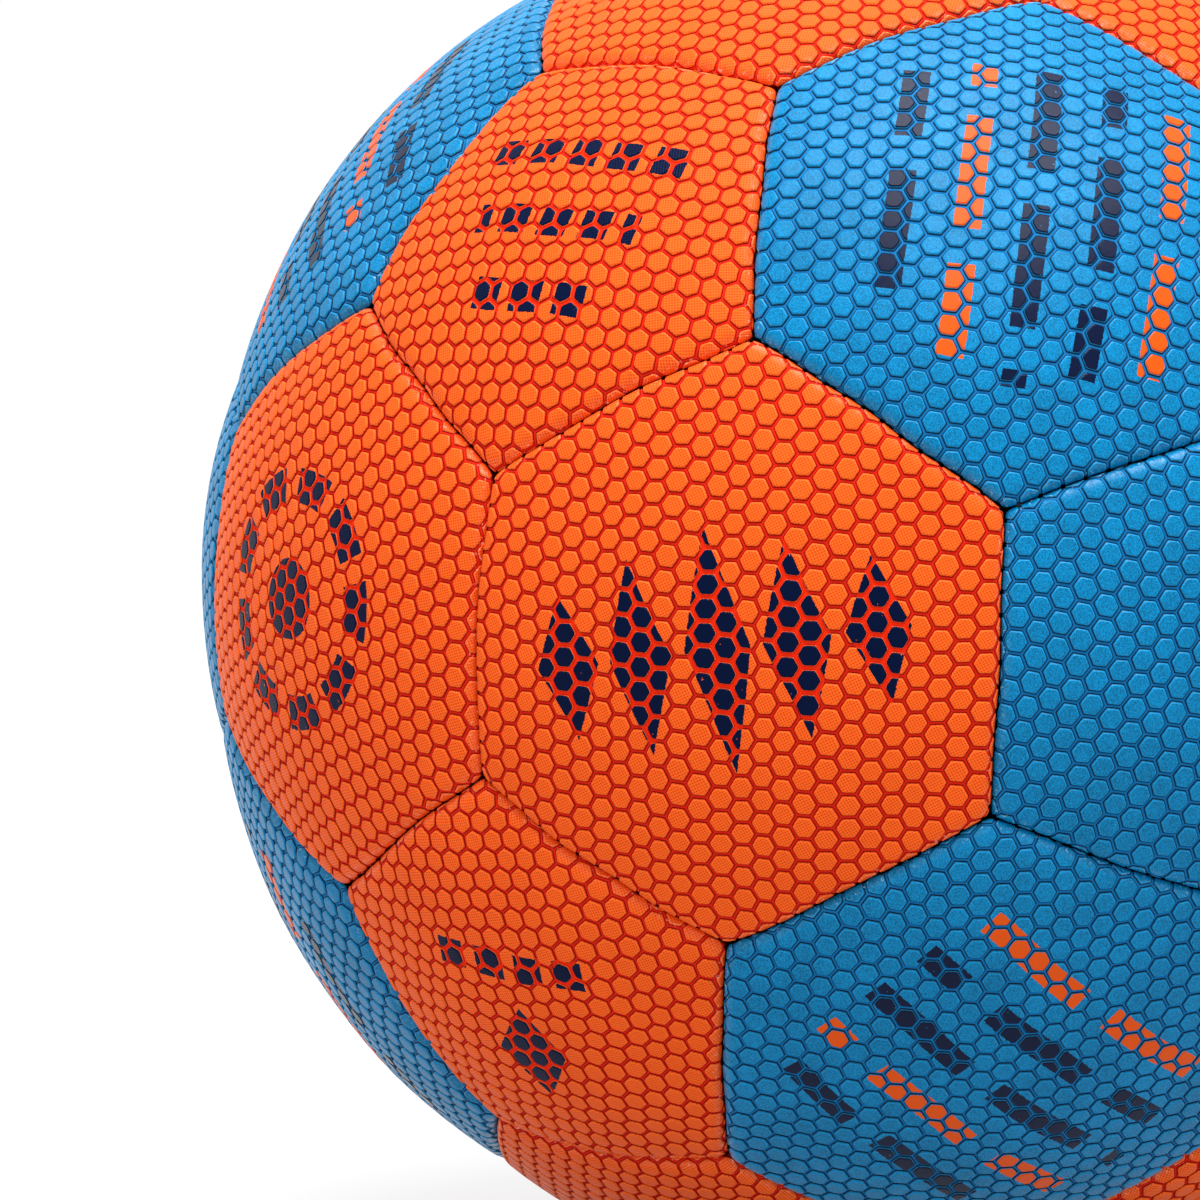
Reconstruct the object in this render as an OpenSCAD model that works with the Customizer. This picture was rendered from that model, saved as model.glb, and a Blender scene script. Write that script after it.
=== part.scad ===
// Hand-stitched handball: 20 six-sided and 12 five-sided cover panels, each folded inwards
// along its seams like a shallow tray, over foam, lining and a bladder with its valve.
// The origin is the centre of the ball. +Z is up, and -Y is the side with the seam between
// two orange panels that faces the front.

/* [Ball] */
// Circumference of the inflated ball, over the crowns of the panels
circumference = 510; // [500:1:520]
// How far the crown of a panel stands above the middle of its seams
panel_rise = 0.9; // [0.5:0.1:1.3]

/* [Cover] */
// Thickness of the embossed cover
cover_t = 1.3; // [1:0.1:1.6]
// Thickness of the edge that is folded inwards along a seam
flange_t = 1; // [0.8:0.1:1.3]
// Radius of the fold between a panel and its folded edge
fold_r = 1.4; // [1:0.1:1.8]
// Free space between the two folded edges of a seam
seam_gap = 0.2; // [0.1:0.05:0.4]

/* [Padding] */
// Thickness of the foam at the crown of a panel
foam_t = 2.6; // [2.2:0.1:3.2]
// Thickness of the textile lining
lining_t = 0.8; // [0.6:0.1:1.1]
// Film of glue between two layers
glue_t = 0.08; // [0.05:0.01:0.12]

/* [Stitching] */
// Stitch holes in one seam
holes_per_seam = 8; // [6:1:10]
// Thickness of the thread
thread_t = 0.7; // [0.5:0.05:0.8]
// Depth of the stitching below the edge of a seam
stitch_depth = 2.3; // [2.1:0.1:2.5]
// Play between the thread and the folded edge
thread_play = 0.06; // [0.04:0.01:0.1]

/* [Bladder] */
// Thickness of the bladder wall
bladder_t = 0.8; // [0.6:0.1:1.2]
// Play between the bladder and what lies around it
bladder_play = 0.16; // [0.12:0.02:0.24]

/* [Valve] */
// Diameter of the valve neck where it shows in its panel
neck_d = 6.4; // [6:0.1:7.5]
// Depth of the neck's face below the crown of that panel
neck_recess = 0.4; // [0.2:0.1:0.8]
// Diameter of the flange inside the bladder
valve_flange_d = 24; // [18:1:30]
// Thickness of that flange
valve_flange_t = 1.2; // [0.8:0.1:1.6]
// Diameter of the barrel below the flange
barrel_d = 9; // [8.5:0.1:10]
// Length of the barrel below the flange
barrel_h = 9; // [7:0.5:12]
// Diameter of the plug inside the valve
plug_d = 4; // [3.8:0.1:4.4]
// Diameter of the head at the plug's lower end
plug_head_d = 5.8; // [5.2:0.1:6.4]
// Height of that head
plug_head_h = 1.6; // [1:0.1:2.4]
// Thickness of the lip that holds the plug in from below
plug_lip_t = 1; // [0.8:0.1:1.4]
// Diameter of the opening in that lip
lip_hole_d = 3; // [2.8:0.1:3.4]
// Play around the valve neck and around the plug
valve_play = 0.06; // [0.04:0.01:0.1]
// Diameter of the channel for the inflating needle
needle_d = 2.2; // [1.8:0.1:2.4]
// Diameter of the funnel at the mouth of the channel
funnel_d = 3.2; // [2.8:0.1:3.6]
// Depth of the funnel
funnel_depth = 0.7; // [0.5:0.1:1.2]

/* [Hidden] */
$fn = 120;
orange = [1, 0.42, 0.13];
blue = [0.1, 0.52, 0.76];
foam_colour = [0.93, 0.92, 0.88];
lining_colour = [0.86, 0.84, 0.78];
thread_colour = [0.12, 0.13, 0.2];
rubber = [0.13, 0.13, 0.14];
valve_rubber = [0.06, 0.07, 0.1];

// Radii from the centre of the ball, from the outside in
crown_r = circumference / (2 * PI);
seam_r = crown_r - panel_rise;
stitch_r = seam_r - stitch_depth;
lining_in_r = crown_r - cover_t - foam_t - lining_t;
lining_out_r = lining_in_r + lining_t;
bladder_r = lining_in_r - bladder_play;
bladder_in_r = bladder_r - bladder_t;

// Distances from the middle plane of a seam
fold_out = seam_gap / 2;
fold_in = fold_out + flange_t;
thread_out = fold_in + thread_play + thread_t;
pad_edge = thread_out + thread_play;

// The fold's arc is moved outwards by this share of its radius, so that it meets the crown
// and the flange at a clear angle, all the way along a seam
fold_lift_share = 0.11;
// Length that a cut runs past the surface that it opens
overrun = 2 * cover_t;

// Corners of an icosahedron: each is the middle of a five-sided panel, each of its faces is
// the middle of a six-sided one, and a seam between two six-sided ones lies along each edge
golden = (1 + sqrt(5)) / 2;
CORNERS = [for (turn = [0 : 2]) for (a = [-1, 1]) for (b = [-golden, golden])
    [for (axis = [0 : 2]) [0, b, a][(axis + turn) % 3]]];
edge_length = 2;
function linked(i, j) = norm(CORNERS[i] - CORNERS[j]) < 1.01 * edge_length;
EDGES = [for (i = [0 : 10]) for (j = [i + 1 : 11]) if (linked(i, j)) [i, j]];
FACES = [for (e = EDGES) for (k = [0 : 11])
    if (k > e[1] && linked(e[0], k) && linked(e[1], k)) [e[0], e[1], k]];

function unit(v) = v / norm(v);
function corner(i) = unit(CORNERS[i]);
function middle(face) = unit(CORNERS[face[0]] + CORNERS[face[1]] + CORNERS[face[2]]);
// The point where three seams meet, between the corners i and j and next to i
function junction(i, j) = unit(2 * CORNERS[i] + CORNERS[j]);
function neighbours(i) = [for (j = [0 : 11]) if (j != i && linked(i, j)) j];
// The two corners that are neighbours of both i and j
function flankers(i, j) = [for (k = neighbours(i)) if (k != j && linked(j, k)) k];

// Angles seen from the centre of the ball. An apothem is that between the middle of a panel
// and the plane of one of its seams
function plane_angle(out, from, to) = asin(abs(out * unit(cross(from, to))));
FIRST = FACES[0];
hex_apothem = plane_angle(middle(FIRST), corner(FIRST[0]), corner(FIRST[1]));
pent_apothem = plane_angle(corner(FIRST[0]),
    junction(FIRST[0], FIRST[1]), junction(FIRST[0], FIRST[2]));
seam_half_angle = asin(norm(junction(FIRST[0], FIRST[1]) - junction(FIRST[1], FIRST[0])) / 2);

// Colours: an orange band of 16 panels runs around the ball between two blue caps.
// A panel is orange where the direction of its middle leans less than this towards X
orange_reach = 0.55;
function is_orange(out) = abs(out[0]) < orange_reach;
ORANGE_HEX = [for (face = FACES) if (is_orange(middle(face))) face];
BLUE_HEX = [for (face = FACES) if (!is_orange(middle(face))) face];
ORANGE_PENT = [for (i = [0 : 11]) if (is_orange(corner(i))) i];
BLUE_PENT = [for (i = [0 : 11]) if (!is_orange(corner(i))) i];
// The valve is in the orange six-sided panel at the top of the back
VALVE_FACE = [for (face = ORANGE_HEX)
    if (middle(face)[1] > 0 && middle(face)[2] > orange_reach) face][0];

// Stitching: it stops short of a corner, where the thread of the next seam turns in
pent_half_corner = 90 - 180 / 5;
thread_end = (pad_edge + thread_play) / tan(pent_half_corner);
thread_half_angle = seam_half_angle - asin(thread_end / stitch_r);
last_hole_angle = thread_half_angle - asin(thread_t / 2 / stitch_r);
hole_angles = [for (i = [0 : holes_per_seam - 1])
    last_hole_angle * (2 * i / (holes_per_seam - 1) - 1)];
hole_w = thread_t + 2 * thread_play;

// Heights on the valve's axis, from the centre of the ball
neck_top = crown_r - neck_recess;
flange_top = bladder_in_r - valve_play;
flange_low = flange_top - valve_flange_t;
flange_middle = (flange_top + flange_low) / 2;
barrel_low = flange_low - barrel_h;
plug_low = barrel_low + plug_lip_t + valve_play;

// Turns what was made around +Z so that +Z becomes the direction out, and +X leans to side
module face_towards(out, side) {
    x = unit(side - (side * out) * out);
    y = cross(out, x);
    multmatrix([
        [x[0], y[0], out[0]],
        [x[1], y[1], out[1]],
        [x[2], y[2], out[2]]])
        children();
}

module at_hex(face) {
    face_towards(middle(face), corner(face[0]) + corner(face[1])) children();
}

module at_pent(i) {
    j = neighbours(i)[0];
    face_towards(corner(i), corner(j) + corner(flankers(i, j)[0])) children();
}

// Turns what was made around +X so that +X points out through the middle of a seam between
// two junctions, and +Z points across the seam
module at_seam(from, to) {
    out = unit(from + to);
    across = unit(cross(from, to));
    along = cross(across, out);
    multmatrix([
        [out[0], along[0], across[0]],
        [out[1], along[1], across[1]],
        [out[2], along[2], across[2]]])
        children();
}

module at_valve() {
    at_hex(VALVE_FACE) children();
}

// Turns to seam number i of a panel, whose plane is then X = 0, with -X inside the panel
module at_side(i, sides, apothem) {
    rotate([0, 0, i * 360 / sides])
        rotate([0, apothem, 0])
            children();
}

// The upper half of the space around a panel, where all its layers lie
module upper_space() {
    translate([-crown_r, -crown_r, crown_r / 2])
        cube([2 * crown_r, 2 * crown_r, crown_r]);
}

// The crowned form of a panel, as a sphere through its crown and the middle of its seams,
// and then smaller by depth
function crown_centre(apothem) =
    (pow(crown_r, 2) - pow(seam_r, 2)) / (2 * (crown_r - seam_r * cos(apothem)));
module crown_ball(apothem, depth) {
    centre = crown_centre(apothem);
    translate([0, 0, centre]) sphere(r = crown_r - centre - depth);
}

// The space between the seams of a panel, this far inside their planes
module between_seams(sides, apothem, inset) {
    intersection() {
        upper_space();
        intersection_for(i = [0 : sides - 1])
            at_side(i, sides, apothem)
                translate([-2 * crown_r - inset, -crown_r, -crown_r])
                    cube([2 * crown_r, 2 * crown_r, 3 * crown_r]);
    }
}

// The profile of one seam's side, turned around the seam's normal: a flat wall along the
// seam, which bends into the crown with the radius of the fold
module inside_fold() {
    lift = fold_lift_share * fold_r;
    rotate([0, -90, 0])
        rotate_extrude()
            difference() {
                translate([0, fold_out]) square([crown_r + overrun, 2 * crown_r]);
                difference() {
                    translate([seam_r - fold_r + lift, fold_out - overrun])
                        square([fold_r + 2 * overrun, overrun + fold_r - lift]);
                    translate([seam_r - fold_r + lift, fold_out + fold_r - lift])
                        circle(r = fold_r, $fn = 48);
                }
            }
}

// The outer form of a panel, cut along one seam after the other
module folded_crown(sides, apothem, cuts) {
    if (cuts == 0)
        intersection() {
            crown_ball(apothem, 0);
            upper_space();
        }
    else
        intersection() {
            folded_crown(sides, apothem, cuts - 1);
            at_side(cuts, sides, apothem) inside_fold();
        }
}

module stitch_holes() {
    for (a = hole_angles)
        rotate([a, 0, 0])
            translate([-fold_in - overrun / 2, -hole_w / 2, stitch_r - hole_w / 2])
                cube([flange_t + overrun, hole_w, hole_w]);
}

// A cover panel, like a tray: crown, fold, and a flange with stitch holes along each seam
module cover_panel(sides, apothem) {
    difference() {
        folded_crown(sides, apothem, sides);
        intersection() {
            crown_ball(apothem, cover_t);
            between_seams(sides, apothem, fold_in);
        }
        sphere(r = lining_in_r);
        for (i = [1 : sides])
            at_side(i, sides, apothem) stitch_holes();
    }
}

module foam_pad(sides, apothem) {
    difference() {
        intersection() {
            crown_ball(apothem, cover_t + glue_t);
            between_seams(sides, apothem, pad_edge);
        }
        sphere(r = lining_out_r + glue_t);
    }
}

module lining_cloth(sides, apothem) {
    difference() {
        intersection() {
            sphere(r = lining_out_r);
            between_seams(sides, apothem, pad_edge);
        }
        sphere(r = lining_in_r);
    }
}

// The way of the valve's neck through the layers of its panel and the bladder
module neck_hole() {
    translate([0, 0, barrel_low])
        cylinder(d = neck_d + 2 * valve_play, h = crown_r);
}

// Opens the neck's way through a layer of one panel, if the valve is there
module open_for_neck(face) {
    difference() {
        children();
        if (face == VALVE_FACE) neck_hole();
    }
}

module hex_panel(face) {
    at_hex(face) open_for_neck(face) cover_panel(6, hex_apothem);
}

module pent_panel(i) {
    at_pent(i) cover_panel(5, pent_apothem);
}

module foam_hex_pads() {
    color(foam_colour)
        for (face = FACES)
            at_hex(face) open_for_neck(face) foam_pad(6, hex_apothem);
}

module foam_pent_pads() {
    color(foam_colour)
        for (i = [0 : 11])
            at_pent(i) foam_pad(5, pent_apothem);
}

module lining_hex_cloths() {
    color(lining_colour)
        for (face = FACES)
            at_hex(face) open_for_neck(face) lining_cloth(6, hex_apothem);
}

module lining_pent_cloths() {
    color(lining_colour)
        for (i = [0 : 11])
            at_pent(i) lining_cloth(5, pent_apothem);
}

// The open space inside a saddle stitch, between two holes next to each other
module stitch_window(low, high) {
    length = 2 * stitch_r * sin((high - low) / 2) - thread_t;
    inner_w = 2 * (thread_out - thread_t);
    rotate([0, 0, (low + high) / 2])
        translate([stitch_r - overrun, -length / 2, -inner_w / 2])
            cube([2 * overrun, length, inner_w]);
}

// The thread of one seam: a run along each flange, and a pass through each pair of holes
module saddle_stitch() {
    difference() {
        rotate([0, 0, -thread_half_angle])
            rotate_extrude(angle = 2 * thread_half_angle)
                translate([stitch_r - thread_t / 2, -thread_out])
                    square([thread_t, 2 * thread_out]);
        for (i = [1 : holes_per_seam - 1])
            stitch_window(hole_angles[i - 1], hole_angles[i]);
    }
}

module hex_seam_thread() {
    color(thread_colour)
        for (e = EDGES)
            at_seam(junction(e[0], e[1]), junction(e[1], e[0])) saddle_stitch();
}

// The thread all the way round each of these five-sided panels
module pent_seam_thread(corners) {
    color(thread_colour)
        for (i = corners)
            for (j = neighbours(i))
                for (k = flankers(i, j))
                    if (k > j) at_seam(junction(i, j), junction(i, k)) saddle_stitch();
}

module bladder() {
    color(rubber)
        difference() {
            sphere(r = bladder_r);
            sphere(r = bladder_in_r);
            at_valve() neck_hole();
        }
}

// The valve's flange, bent to the inside of the bladder
module valve_flange() {
    difference() {
        intersection() {
            sphere(r = flange_top);
            translate([0, 0, barrel_low])
                cylinder(d = valve_flange_d, h = crown_r);
        }
        sphere(r = flange_low);
    }
}

module valve_body() {
    color(valve_rubber)
        at_valve()
            difference() {
                union() {
                    translate([0, 0, flange_middle])
                        cylinder(d = neck_d, h = neck_top - flange_middle);
                    valve_flange();
                    translate([0, 0, barrel_low])
                        cylinder(d = barrel_d, h = flange_middle - barrel_low);
                }
                translate([0, 0, plug_low - valve_play])
                    cylinder(d = plug_d + 2 * valve_play, h = crown_r);
                translate([0, 0, plug_low - valve_play])
                    cylinder(d = plug_head_d + 2 * valve_play, h = plug_head_h + 2 * valve_play);
                translate([0, 0, barrel_low - overrun])
                    cylinder(d = lip_hole_d, h = crown_r);
            }
}

module valve_core() {
    color(valve_rubber)
        at_valve()
            difference() {
                union() {
                    translate([0, 0, plug_low])
                        cylinder(d = plug_d, h = neck_top - plug_low);
                    translate([0, 0, plug_low])
                        cylinder(d = plug_head_d, h = plug_head_h);
                }
                translate([0, 0, barrel_low])
                    cylinder(d = needle_d, h = crown_r);
                translate([0, 0, neck_top - funnel_depth])
                    cylinder(d1 = needle_d, d2 = 2 * funnel_d - needle_d, h = 2 * funnel_depth);
            }
}

function numbered(name, list) = [for (i = [1 : len(list)]) str(name, "_", i)];

for (i = [1 : len(ORANGE_HEX)])
    color(orange) hex_panel(ORANGE_HEX[i - 1]);
for (i = [1 : len(BLUE_HEX)])
    color(blue) hex_panel(BLUE_HEX[i - 1]);
for (i = [1 : len(ORANGE_PENT)])
    color(orange) pent_panel(ORANGE_PENT[i - 1]);
for (i = [1 : len(BLUE_PENT)])
    color(blue) pent_panel(BLUE_PENT[i - 1]);
foam_hex_pads();
foam_pent_pads();
lining_hex_cloths();
lining_pent_cloths();
hex_seam_thread();
pent_seam_thread(ORANGE_PENT);  // orange_pent_seam_thread
pent_seam_thread(BLUE_PENT);  // blue_pent_seam_thread
bladder();
valve_body();
valve_core();
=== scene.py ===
import math
from itertools import combinations

import bpy
import numpy as np
from bpy.props import FloatProperty, FloatVectorProperty, PointerProperty
from bpy.types import Operator, Panel, PropertyGroup
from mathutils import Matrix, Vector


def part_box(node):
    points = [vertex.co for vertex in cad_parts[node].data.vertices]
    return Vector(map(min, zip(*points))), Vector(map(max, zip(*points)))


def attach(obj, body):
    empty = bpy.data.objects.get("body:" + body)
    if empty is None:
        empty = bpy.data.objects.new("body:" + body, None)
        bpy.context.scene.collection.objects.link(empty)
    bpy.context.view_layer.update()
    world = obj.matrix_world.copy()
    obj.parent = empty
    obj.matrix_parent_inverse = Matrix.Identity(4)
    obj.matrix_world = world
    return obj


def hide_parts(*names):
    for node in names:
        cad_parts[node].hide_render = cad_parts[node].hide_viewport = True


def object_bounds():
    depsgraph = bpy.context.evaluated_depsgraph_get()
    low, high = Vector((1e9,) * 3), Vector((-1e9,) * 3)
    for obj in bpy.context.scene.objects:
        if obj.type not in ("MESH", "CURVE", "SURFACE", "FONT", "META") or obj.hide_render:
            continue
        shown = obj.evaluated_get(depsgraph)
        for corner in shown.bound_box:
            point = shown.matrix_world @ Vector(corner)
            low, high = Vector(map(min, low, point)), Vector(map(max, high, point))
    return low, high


bl_info = {
    "name": "Stitched ball",
    "version": (1, 0, 0),
    "blender": (4, 5, 0),
    "location": "3D View > Sidebar > Ball",
    "description": "Embossed covers, seams, valve and inner layers of a hand-stitched ball",
    "category": "Object",
}

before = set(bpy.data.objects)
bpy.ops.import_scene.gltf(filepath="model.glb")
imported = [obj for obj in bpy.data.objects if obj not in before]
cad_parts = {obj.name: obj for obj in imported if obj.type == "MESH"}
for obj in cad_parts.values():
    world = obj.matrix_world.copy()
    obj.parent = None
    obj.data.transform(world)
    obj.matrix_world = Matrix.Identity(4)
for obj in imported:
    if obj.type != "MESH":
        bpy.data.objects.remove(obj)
CAD_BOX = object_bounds()
MM = 0.001
GOLDEN = (1 + math.sqrt(5)) / 2
SHEET_SPAN = 100.0   # millimetres of cover that one unit of its UV map spans
WEAVE_PITCH = 0.3    # millimetres from one hole of the weave to the next
MERGE_STEPS = 2000   # steps in a millimetre. Points of two cells in the same step are merged
# Cosines over which two directions lead to the same panel, and to two that share a seam
SAME, BESIDE = 0.99, math.cos(math.radians(50))
# Columns of a point of the flat cover after its x and y. TRIM is how far inside a cut it lies
SINK, GROOVE, CREST, TRIM = 2, 3, 4, 5
ON_CREST = 0.99      # a point whose crest is above this lies on the ring that stays sharp
# What the groove attribute is at the foot of a cell's bevel and of its wall. It is 0 on the top
# of the cell and 1 in the middle of the groove
BEVEL_FOOT, WALL_FOOT = 0.12, 0.5


# Values that a user would change

def length(name, description, millimetres):
    return FloatProperty(name=name, description=description, default=millimetres * MM,
                         subtype="DISTANCE", unit="LENGTH", precision=5)


def share(name, description, value):
    return FloatProperty(name=name, description=description, default=value,
                         min=0, max=1, subtype="FACTOR")


def paint(name, description, red, green, blue):
    """A colour, written as the 0 to 255 values of a screen and kept as linear light."""
    values = [(c / 255 / 12.92) if c <= 10 else ((c / 255 + 0.055) / 1.055) ** 2.4
              for c in (red, green, blue)]
    return FloatVectorProperty(name=name, description=description, default=values,
                               min=0, max=1, size=3, subtype="COLOR")


class CoverSizes(PropertyGroup):
    crown_radius: length("Crown radius", "From the centre of the ball to a panel's crown", 81.149)
    seam_radius: length("Seam radius", "From the centre to the middle of a seam's edge", 80.249)
    seam_gap: length("Seam gap", "Free space between the two folded edges of a seam", 0.08)
    fold_reach: length("Fold reach", "Width of the rounded edge of a panel, seen from above", 1.7)
    fold_drop: length("Fold drop", "Height that the rounded edge of a panel falls by", 1.15)
    corner_round: length("Corner rounding", "How softly two folded edges meet in a corner", 0.4)
    cover_thickness: length("Cover thickness", "Thickness of the embossed cover", 1.3)
    edge_thickness: length("Edge thickness", "Thickness of the edge folded along a seam", 1.0)
    edge_foot_radius: length("Edge foot", "From the centre to the foot of a folded edge", 76.5)
    valve_hole: length("Valve hole", "Radius of the hole in the cover around the valve", 3.26)
    seam_half: length("Half a seam", "From the middle of a seam to its end", 16.2)
    stitch_pitch: length("Stitch pitch", "Distance between two stitches of a seam", 4.15)
    stitch_dimple: length("Stitch dimple", "How far a stitch draws the folded edge down", 0.14)
    waviness: length("Waviness", "How far hand sewing moves a place on the cover sideways", 0.13)
    sag: length("Sag", "How far the low places of a panel lie below its even shape", 0.16)


class EmbossSizes(PropertyGroup):
    pitch: length("Cell pitch", "Distance between neighbouring raised cells", 2.62)
    groove_width: length("Groove width", "Width of a groove between the cells' edges", 0.56)
    floor_width: length("Floor width", "Width of the flat floor of a groove", 0.34)
    depth: length("Depth", "Depth of a groove", 0.3)
    edge_band: length("Edge band", "Width of the bevel around a cell's top", 0.1)
    edge_bevel: length("Edge bevel", "Height that this bevel falls by", 0.06)
    corner_cut: length("Corner cut", "How far a cell's corner is cut off, along a side", 0.17)
    dome: length("Dome", "How far a cell's middle stands above its edge", 0.008)
    fold_fade: share("Fade on the fold", "Share of the depth that is lost around the fold", 0.55)
    fine_edge: length("Fine edge", "Longest edge of a face on the fold", 0.5)


class CoverColours(PropertyGroup):
    orange: paint("Orange", "Raised cells of the orange cover", 255, 88, 26)
    # Groove: the grooves' own darker tone together with painted shade. Foot: painted shade along
    # the foot of each cell's wall
    orange_groove: paint("Orange groove", "Floor of the grooves in the orange cover", 216, 36, 18)
    orange_foot: paint("Orange cell foot", "Line around the foot of an orange cell", 142, 0, 1)
    # Rim tones: what the fold of a panel turns partly towards near the seam. The orange one is also
    # the tone of a groove beside ink
    orange_rim: paint("Orange rim", "Stretched cover on the fold of an orange panel", 240, 44, 12)
    orange_ink: paint("Orange ink", "Orange print on the blue cover", 218, 80, 8)
    blue: paint("Blue", "Raised cells of the blue cover", 1, 114, 164)
    # Groove: the grooves' own darker tone together with painted shade. Foot: painted shade along
    # the foot of each cell's wall
    blue_groove: paint("Blue groove", "Floor of the grooves in the blue cover", 3, 108, 170)
    blue_foot: paint("Blue cell foot", "Line around the foot of a blue cell", 0, 9, 28)
    blue_rim: paint("Blue rim", "Stretched cover on the fold of a blue panel", 3, 84, 136)
    navy_ink: paint("Navy ink", "Dark print on both covers", 0, 14, 48)


class InnerColours(PropertyGroup):
    thread: paint("Thread", "Waxed seam thread", 34, 30, 44)
    foam: paint("Foam", "Foam pads", 238, 234, 222)
    lining: paint("Lining", "Laminated lining cloth", 220, 214, 198)
    bladder: paint("Bladder", "Rubber of the bladder", 40, 40, 43)
    valve: paint("Valve", "Soft rubber of the valve", 26, 28, 34)


class StageValues(PropertyGroup):
    camera_place: FloatVectorProperty(
        name="Camera place", description="Where the camera stands", size=3,
        default=(0.43714, -0.63186, 0.07222), subtype="TRANSLATION", unit="LENGTH")
    camera_turn: FloatVectorProperty(
        name="Camera turn", description="How the camera is turned", size=3,
        default=[math.radians(a) for a in (84.4051, -2.4157, 37.5332)], subtype="EULER")
    lens: FloatProperty(name="Lens", description="Focal length in millimetres, on a picture "
                        "36 millimetres wide", default=201.418)
    sky: FloatProperty(name="Room light", description="Strength of the light from all sides",
                       default=0.96)
    key_power: FloatProperty(name="Overhead light", description="Power of the large soft light",
                             default=33.0, unit="POWER")
    key_width: length("Overhead light width", "Width of the large soft light", 1100)
    key_place: FloatVectorProperty(
        name="Overhead light place", description="Where the large soft light hangs", size=3,
        default=(0.2, -0.22, 1.3), subtype="TRANSLATION", unit="LENGTH")
    floor_size: length("Floor size", "Half the side of the floor", 9000)
    floor: paint("Floor", "Pale floor", 246, 246, 246)
    floor_bounce: paint("Floor bounce", "Tone of the floor in the light that it sends back up",
                        172, 172, 172)


# Shader maths

class Shade:
    """A value in a material. Arithmetic on it adds the Math nodes that work it out."""

    def __init__(self, finish, socket):
        self.finish, self.socket = finish, socket

    def math(self, operation, *others):
        inputs = {i: v for i, v in enumerate((self,) + others)}
        return self.finish.node("ShaderNodeMath", {"operation": operation}, inputs)

    def __add__(self, other):
        return self.math("ADD", other)

    def __sub__(self, other):
        return self.math("SUBTRACT", other)

    def __mul__(self, other):
        return self.math("MULTIPLY", other)

    def __truediv__(self, other):
        return self.math("DIVIDE", other)

    def __rsub__(self, other):
        return self.finish.node("ShaderNodeMath", {"operation": "SUBTRACT"}, {0: other, 1: self})

    def __lt__(self, other):
        return self.math("LESS_THAN", other)

    def __abs__(self):
        return self.math("ABSOLUTE")

    __radd__ = __add__
    __rmul__ = __mul__

    def floor(self):
        return self.math("FLOOR")

    def fraction(self):
        return self.math("FRACT")

    def sine(self):
        return self.math("SINE")

    def root(self):
        return self.math("SQRT")

    def most(self, other):
        return self.math("MAXIMUM", other)


class Finish:
    """The nodes of a new material or world, and the one method that makes them."""

    def __init__(self, name, library=bpy.data.materials):
        self.owner = library.new(name)
        self.owner.use_nodes = True
        self.tree = self.owner.node_tree
        self.tree.nodes.clear()

    def node(self, kind, settings=None, inputs=None, output=0):
        """Adds a node: its settings are set first, then the values or links of its sockets."""
        made = self.tree.nodes.new(kind)
        for key, value in (settings or {}).items():
            setattr(made, key, value)
        for key, value in (inputs or {}).items():
            if isinstance(value, Shade):
                self.tree.links.new(value.socket, made.inputs[key])
            else:
                made.inputs[key].default_value = value
        return None if output is None else Shade(self, made.outputs[output])

    def blend(self, mask, first, second):
        """The colour first where mask is 0 and second where it is 1."""
        colours = [tuple(c) + (1,) if not isinstance(c, Shade) else c for c in (first, second)]
        return self.node("ShaderNodeMix", {"data_type": "RGBA"},
                         {0: mask, 6: colours[0], 7: colours[1]}, 2)

    def ease(self, value, low, high):
        """0 below low, 1 above high, and a soft step between them."""
        return self.node("ShaderNodeMapRange", {"interpolation_type": "SMOOTHSTEP"},
                         {"Value": value, "From Min": low, "From Max": high})

    def noise(self, vector, scale, detail=2.0, roughness=0.6):
        return self.node("ShaderNodeTexNoise", None, {
            "Vector": vector, "Scale": scale, "Detail": detail, "Roughness": roughness})

    def place(self):
        """Object coordinates, in metres."""
        return self.node("ShaderNodeTexCoord", None, None, "Object")

    def parts(self, vector):
        """The x, y and z of a vector."""
        apart = self.node("ShaderNodeSeparateXYZ", None, {0: vector})
        return [Shade(self, part) for part in apart.socket.node.outputs]

    def attribute(self, name):
        return self.node("ShaderNodeAttribute", {"attribute_name": name}, None, "Fac")

    def seen(self):
        """1 for a ray from the camera, or one that gloss or glass sends on, and else 0."""
        rays = self.node("ShaderNodeLightPath", None, None, "Is Camera Ray")
        glossy, through = [Shade(self, rays.socket.node.outputs[kind])
                           for kind in ("Is Glossy Ray", "Is Transmission Ray")]
        return rays.most(glossy).most(through)

    def bump(self, height, distance, strength):
        return self.node("ShaderNodeBump", None, {
            "Height": height, "Distance": distance, "Strength": strength})

    def surface(self, colour, roughness, normal=None, **constants):
        """Ends the material in a Principled shader."""
        inputs = {"Base Color": colour if isinstance(colour, Shade) else tuple(colour) + (1,),
                  "Roughness": roughness}
        if normal:
            inputs["Normal"] = normal
        inputs.update({key.replace("_", " "): value for key, value in constants.items()})
        return self.end(self.node("ShaderNodeBsdfPrincipled", None, inputs))

    def end(self, shader, kind="ShaderNodeOutputMaterial"):
        self.node(kind, None, {"Surface": shader}, None)
        return self.owner


def toned(colour, factor, lift=0):
    """A lighter or a darker tone of a colour."""
    return [min(1, c * factor + lift) for c in colour]


def slanted(x, y, c, s):
    """A place in directions that are turned by the angle with the cosine c and the sine s."""
    return x * c + y * s, y * c - x * s


def repeat(value, step):
    """The number of the step that a place lies in, and its distance from the step's middle."""
    steps = value / step + 0.5
    return steps.floor(), abs(steps.fraction() - 0.5) * step


# Printed patterns. Each returns the masks of the navy and the orange ink at a place (x, y) of
# the cover, in millimetres from the middle of its panel

def no_print(x, y):
    """A plain cover."""
    return None, None


def lozenge_row(x, y):
    """Five slim lozenges side by side, the middle one tallest."""
    step, half_width, tallest, lower = 8.6, 3.6, 13, 2.6
    index, across = repeat(x, step)
    height = tallest - abs(index) * lower
    return (across / half_width + abs(y) / height < 1) * (abs(index) < 2.5), None


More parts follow.
